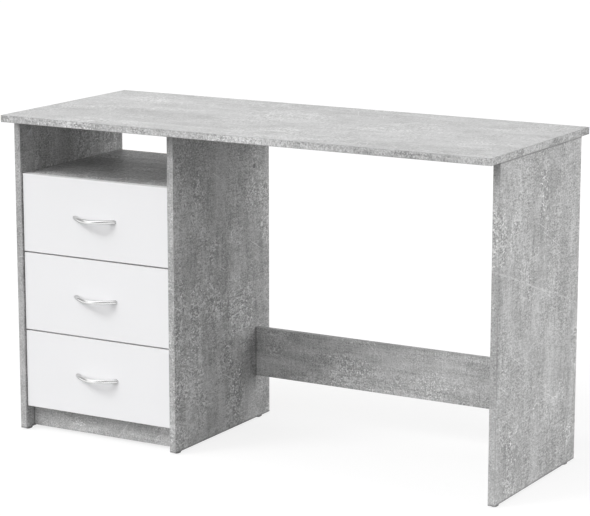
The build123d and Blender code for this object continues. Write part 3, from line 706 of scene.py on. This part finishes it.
def hardboard(name, lacquered):
    """Raw fibre, with white lacquer on the faces that point up where it is lacquered."""
    material, tree, shader = start_material("hardboard_" + name)
    spot = own_place(tree)
    raw = grouped(tree, fibre, {"Spot": spot})
    colour = raw["Colour"]
    if lacquered:
        drift = noise(tree, spot, (30, 30, 30), detail=4)
        lacquer = blend(tree, drift, LACQUER_LOW, LACQUER_HIGH)
        colour = blend(tree, step(tree, upright_part(tree), 0.3, 0.7), colour, lacquer)
    relief = bump(tree, raw["Height"], strength=0.3, depth=0.0003)
    plug(tree, shader, colour, raw["Roughness"], relief)
    dress(material, name)


hardboard("back_panel", lacquered=False)
for drawer in DRAWERS:
    hardboard(f"{drawer}_drawer_bottom", lacquered=True)

# %% [markdown]
# ## The bow handles
# Each handle is one bar that swings out of the front and back in a flat bow. It is deep at its feet
# and slim in the middle. Its section is an oval that leans forward in the middle of the bow, so that a
# bright line runs along its top and a thin dark line below. A curve with a bevel would keep one section
# all the way, so a ring of edges is laid on one foot instead, and extruded from station to station
# until it reaches the other foot. Every station moves, turns, leans and scales the ring between two
# arcs: the outer and the inner line of the bow.

# %% The line of the bow
HANDLE_FOOT = 0.015
HANDLE_GRIP = 0.0056
HANDLE_HEIGHT = 0.0100
HANDLE_LEAN = math.radians(32)
HANDLE_STATIONS = 56
RING_POINTS = 28


def arc_point(half, rise, share):
    """A point on the arc through (-half, 0), (0, -rise) and (half, 0). The share runs from -1 to 1."""
    radius = (half**2 + rise**2) / (2 * rise)
    angle = share * math.asin(half / radius)
    return Vector((radius * math.sin(angle), radius - rise - radius * math.cos(angle), 0))


def ring_place(length, reach, share):
    """Scales, leans, turns and moves a unit circle to its station on the bow."""
    outer = arc_point(length / 2, reach, share)
    inner = arc_point(length / 2 - HANDLE_FOOT, reach - HANDLE_GRIP, share)
    across = outer - inner
    section = Matrix.Diagonal((across.length / 2, HANDLE_HEIGHT / 2, 1, 1))
    lean = Matrix.Rotation(HANDLE_LEAN * (1 - share**2), 4, "Z")
    upright = Matrix.Rotation(math.radians(90), 4, "X")
    turn = Matrix.Rotation(math.atan2(across.y, across.x), 4, "Z")
    return Matrix.Translation((outer + inner) / 2) @ turn @ upright @ lean @ section


print("bow:", HANDLE_STATIONS, "stations of", RING_POINTS, "points")

# %% Extrude the bow
def bow_mesh(name, length, reach, feet_middle):
    """A mesh of the bow, with its feet on both sides of a place."""
    bow = bmesh.new()
    last = ring_place(length, reach, -1)
    bmesh.ops.create_circle(bow, cap_ends=True, segments=RING_POINTS, radius=1, matrix=last)
    ring = bow.edges[:]
    for station in range(1, HANDLE_STATIONS + 1):
        grown = bmesh.ops.extrude_edge_only(bow, edges=ring)["geom"]
        points = [item for item in grown if isinstance(item, bmesh.types.BMVert)]
        ring = [item for item in grown if isinstance(item, bmesh.types.BMEdge)]
        here = ring_place(length, reach, 2 * station / HANDLE_STATIONS - 1)
        bmesh.ops.transform(bow, matrix=here @ last.inverted(), verts=points)
        last = here
    bmesh.ops.contextual_create(bow, geom=ring)
    bmesh.ops.recalc_face_normals(bow, faces=bow.faces)
    for face in bow.faces:
        face.smooth = len(face.verts) == 4
    bmesh.ops.translate(bow, vec=feet_middle, verts=bow.verts)
    mesh = bpy.data.meshes.new(name)
    bow.to_mesh(mesh)
    bow.free()
    return mesh


def bow_handle(name, node, body):
    """A handle in the place of a CAD node."""
    low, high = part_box(node)
    size, middle = high - low, (low + high) / 2
    mesh = bow_mesh(name, size.x, size.y, (middle.x, high.y, middle.z))
    piece = bpy.data.objects.new(name, mesh)
    scene.collection.objects.link(piece)
    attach(piece, body)
    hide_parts(node)
    print("handle:", name, len(mesh.polygons), "faces")


for drawer in DRAWERS:
    bow_handle(f"{drawer}_bow_handle", f"{drawer}_drawer_handle", f"{drawer}_drawer")

# %% [markdown]
# ## A worked surface
# The small parts differ in how they were made. The handles are plated and then brushed along their
# length, the runners are sprayed with white enamel, cams are cast, screws and nails are zinc-plated,
# and the rollers and glides are moulded. What they share is a fine unevenness: a grain that can be
# stretched along one axis, and smudges where hands and tools have touched. One group gives it to all of
# them, between two colours and two levels of gloss.

# %% Group: worked surface
worked, given = start_group(
    "worked_surface",
    [("Spot", "place", (0, 0, 0)), ("Grain", "place", (800, 800, 800)), ("Low", "colour", grey(0.4)),
     ("High", "colour", grey(0.6)), ("Smooth", "value", 0.2), ("Rough", "value", 0.4)],
    [("Colour", "colour"), ("Roughness", "value"), ("Height", "value")],
)
lines = noise(worked, given["Spot"], given["Grain"], rough=0.5)
smudge = noise(worked, given["Spot"], (70, 70, 70), detail=4, rough=0.65)
evened = maths(worked, "MULTIPLY", maths(worked, "ADD", lines, smudge), 0.5)
spread = step(worked, evened, 0.36, 0.64)
gloss_range = maths(worked, "SUBTRACT", given["Rough"], given["Smooth"])
end_group(worked, {
    "Colour": blend(worked, spread, given["Low"], given["High"]),
    "Roughness": maths(worked, "MULTIPLY_ADD", spread, gloss_range, given["Smooth"]),
    "Height": lines,
})

# %% [markdown]
# ## Bright handles
# A plated handle is a mirror with fine brushed lines. Where it meets the front, and on its underside,
# its colour is darkened as painted shade, for the shaded front and floor that these parts mirror. Both
# could be pieces of their own material, but that would show a hard border. So the distance from the
# drawer front tells the feet, the direction of the surface tells the underside, and the painted shade
# fades between.

# %% Plated and brushed metal
FOOT_START = 0.009
FOOT_END = 0.001
FOOT_PAINTED_SHADE = 0.40
UNDERSIDE_PAINTED_SHADE = 0.36
SHADED_METAL_GREY = grey(0.34)
RELIEF_DEPTH = 0.0001


def chrome_bow(name, front):
    """Plated metal with brushed lines along the bow, with painted shade at its feet and underneath."""
    material, tree, shader = start_material("satin_chrome_" + name)
    spot = own_place(tree)
    looks = {"Low": grey(0.89), "High": grey(0.96), "Smooth": 0.08, "Rough": 0.14}
    surface = grouped(tree, worked, {"Spot": spot, "Grain": (60, 1800, 1800), **looks})
    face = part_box(front)[0].y
    foot = step(tree, split(tree, spot)["Y"], face - FOOT_START, face - FOOT_END)
    foot = maths(tree, "MULTIPLY", foot, FOOT_PAINTED_SHADE)
    below = maths(tree, "MULTIPLY", step(tree, upright_part(tree), 0.04, -0.16), UNDERSIDE_PAINTED_SHADE)
    # Painted shade: the feet and the underside are darkened towards a grey metal colour.
    colour = blend(tree, maths(tree, "MAXIMUM", foot, below), surface["Colour"], SHADED_METAL_GREY)
    shader["Metallic"].default_value = 1.0
    shader["Specular Tint"].default_value = grey(0.55)
    relief = bump(tree, surface["Height"], strength=0.05, depth=RELIEF_DEPTH)
    plug(tree, shader, colour, surface["Roughness"], relief)
    dress(material, name)


for drawer in DRAWERS:
    chrome_bow(f"{drawer}_bow_handle", f"{drawer}_drawer_front")

# %% [markdown]
# ## The other small parts
# Most of these pieces only show when a drawer is pulled out, or from behind. Each finish is the worked
# surface with its own colours, gloss and grain: an even grain on sprayed, cast and moulded parts, and a
# long one on the turned dowels.

# %% Enamel, nylon, zinc, plastic and beech
def small_part(name, nodes, low, high, smooth, rough, grain, relief, metal=0.0):
    """A moulded, plated or painted finish on CAD nodes."""
    material, tree, shader = start_material(name)
    looks = {"Low": (*low, 1), "High": (*high, 1), "Smooth": smooth, "Rough": rough, "Grain": grain}
    surface = grouped(tree, worked, {"Spot": own_place(tree), **looks})
    shader["Metallic"].default_value = metal
    raised = bump(tree, surface["Height"], strength=relief, depth=RELIEF_DEPTH)
    plug(tree, shader, surface["Colour"], surface["Roughness"], raised)
    dress(material, *nodes)


SIDES = ("left", "right")
rails = [f"{drawer}_drawer_{side}_rail" for drawer in DRAWERS for side in SIDES]
rollers = [f"{drawer}_{side}_{end}_roller" for drawer in DRAWERS for side in SIDES
           for end in ("front", "rear")]
screws = [f"{drawer}_drawer_screws" for drawer in DRAWERS]
dowels = [f"{drawer}_drawer_dowels" for drawer in DRAWERS]

small_part("white_enamel", ["left_cabinet_runners", "right_cabinet_runners", *rails],
           low=(0.70, 0.70, 0.69), high=(0.82, 0.82, 0.81), smooth=0.28, rough=0.42,
           grain=(600, 600, 600), relief=0.3)
small_part("roller_nylon", rollers,
           low=(0.72, 0.71, 0.67), high=(0.84, 0.83, 0.80), smooth=0.30, rough=0.48,
           grain=(900, 300, 300), relief=0.2)
small_part("cast_zinc", ["cam_locks"],
           low=(0.38, 0.38, 0.39), high=(0.60, 0.60, 0.61), smooth=0.38, rough=0.58,
           grain=(1400, 1400, 1400), relief=0.5, metal=1.0)
small_part("zinc_plate", ["cam_bolts", "back_panel_nails", "cabinet_runner_screws", *screws],
           low=(0.50, 0.50, 0.49), high=(0.72, 0.73, 0.74), smooth=0.22, rough=0.40,
           grain=(1200, 1200, 1200), relief=0.2, metal=1.0)
small_part("moulded_glide", ["floor_glides"],
           low=(0.15, 0.15, 0.15), high=(0.24, 0.24, 0.24), smooth=0.40, rough=0.60,
           grain=(1000, 1000, 1000), relief=0.4)
small_part("turned_beech", ["wood_dowels", *dowels],
           low=(0.48, 0.31, 0.17), high=(0.66, 0.47, 0.29), smooth=0.50, rough=0.70,
           grain=(120, 1500, 1500), relief=0.4)
